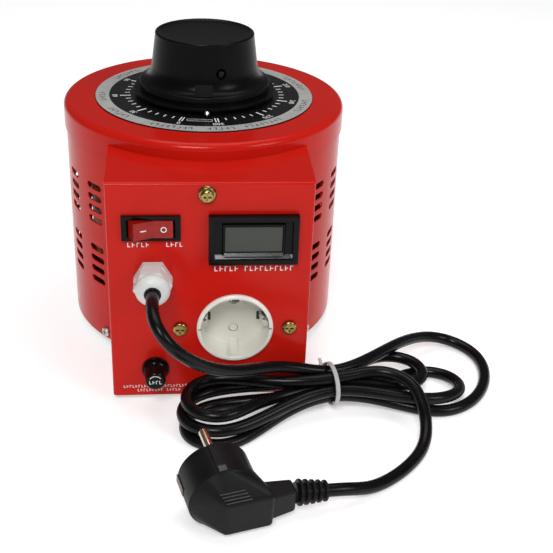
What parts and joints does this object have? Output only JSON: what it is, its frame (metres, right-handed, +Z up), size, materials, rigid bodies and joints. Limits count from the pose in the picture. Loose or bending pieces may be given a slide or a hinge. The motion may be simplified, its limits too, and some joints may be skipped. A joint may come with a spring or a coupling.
{
  "type": "variac autotransformer",
  "caption": "Round bench variable autotransformer with a slotted casing, dial knob, front control box with meter, rocker, outlet, fuse and a tied mains lead.",
  "frame": {"origin": "on the axis of the shaft and round casing, in the plane that the rubber feet stand on", "axes": "+Z up along the shaft, the front panel faces -Y, +X to the right of someone who faces the panel"},
  "size_m": [0.2606, 0.3217, 0.1894],
  "materials": {
    "red_enamel": "gloss stoved enamel",
    "zinc_steel": "satin zinc plate",
    "yellow_zinc": "satin yellow passivate",
    "rubber": "matt",
    "dial_black": "satin, silver ring and white scale",
    "phenolic": "satin",
    "core_steel": "laminated strip edge",
    "copper": "enamelled wire",
    "cast_aluminium": "as cast",
    "bronze": "sintered",
    "steel_shaft": "ground",
    "carbon": "matt",
    "spring_steel": "bright",
    "knob_black": "satin",
    "bright_metal": "bright",
    "black_plastic": "gloss",
    "red_lens": "gloss, translucent",
    "meter_glass": "gloss over liquid crystal display",
    "ivory_plastic": "satin",
    "contact_brass": "bright",
    "white_nylon": "satin",
    "seal_rubber": "matt",
    "fuse_glass": "clear",
    "wire_pvc": "satin",
    "cord_pvc": "satin",
    "tie_grey": "satin",
    "plug_rubber": "fine matt",
    "plug_pin": "nickel plate"
  },
  "bodies": {
    "housing": {"base_pan": "zinc_steel", "rubber_feet": "rubber", "foot_screws": "zinc_steel", "perforated_shell": "red_enamel", "shell_screws": "zinc_steel", "top_cap": "red_enamel", "dial_plate": "dial_black", "control_box": "red_enamel", "panel_bracket": "zinc_steel", "panel_top_screw": "yellow_zinc", "cup_washer": "yellow_zinc", "core_cradle": "phenolic", "core": "core_steel", "core_end_caps": "white_nylon", "winding": "copper", "clamp_ring": "phenolic", "clamp_bolts": "zinc_steel", "clamp_nuts": "zinc_steel", "bearing_post": "cast_aluminium", "shaft_bushes": "bronze", "end_stop": "zinc_steel", "collector_spring": "bronze", "switch_body": "black_plastic", "switch_terminals": "contact_brass", "meter_bezel": "black_plastic", "meter_window": "meter_glass", "meter_case": "black_plastic", "socket_body": "ivory_plastic", "contact_sleeves": "contact_brass", "earth_clips": "bright_metal", "socket_plate": "zinc_steel", "socket_screws": "yellow_zinc", "gland_body": "white_nylon", "gland_dome_nut": "white_nylon", "gland_seal": "seal_rubber", "gland_locknut": "white_nylon", "fuse_holder_body": "black_plastic", "fuse_nut": "zinc_steel", "terminal_strip": "ivory_plastic", "inner_wires": "wire_pvc", "cord": "cord_pvc", "cord_tie": "tie_grey", "plug_body": "plug_rubber", "plug_pins": "plug_pin", "plug_earth_strips": "plug_pin", "plug_strain_relief": "plug_rubber"},
    "rotor": {"shaft": "steel_shaft", "thrust_washers": "bronze", "retaining_ring": "spring_steel", "brush_arm": "cast_aluminium", "brush_holder": "contact_brass", "brush_spring": "spring_steel", "knob": "knob_black", "knob_pointer": "bright_metal", "knob_set_screw": "spring_steel"},
    "brush": {"carbon_brush": "carbon"},
    "rocker": {"switch_rocker": "red_lens"},
    "fuse_drawer": {"fuse_carrier": "black_plastic", "fuse_link": "fuse_glass"},
    "fuse_knob": {"fuse_cap": "black_plastic"}
  },
  "joints": [
    {"name": "dial_turn", "type": "hinge", "parent": "housing", "child": "rotor", "pos_m": [0, 0, 0.12], "axis": [0, 0, 1], "range_deg": [-350, 0]},
    {"name": "brush_slide", "type": "slide", "parent": "rotor", "child": "brush", "axis": [0, 0, 1], "range_m": [0, 0.0018], "stiffness_N_per_m": 600, "springref_m": -0.004, "deforming": ["brush_spring"]},
    {"name": "rocker_tip", "type": "hinge", "parent": "housing", "child": "rocker", "pos_m": [-0.0321, -0.111, 0.11315], "axis": [0, 0, 1], "range_deg": [-20, 0]},
    {"name": "fuse_draw", "type": "slide", "parent": "housing", "child": "fuse_drawer", "axis": [0, -1, 0], "range_m": [0, 0.035]},
    {"name": "fuse_cap_turn", "type": "hinge", "parent": "fuse_drawer", "child": "fuse_knob", "pos_m": [-0.0313, -0.1212, 0.0226], "axis": [0, -1, 0], "range_deg": [-90, 0]}
  ]
}
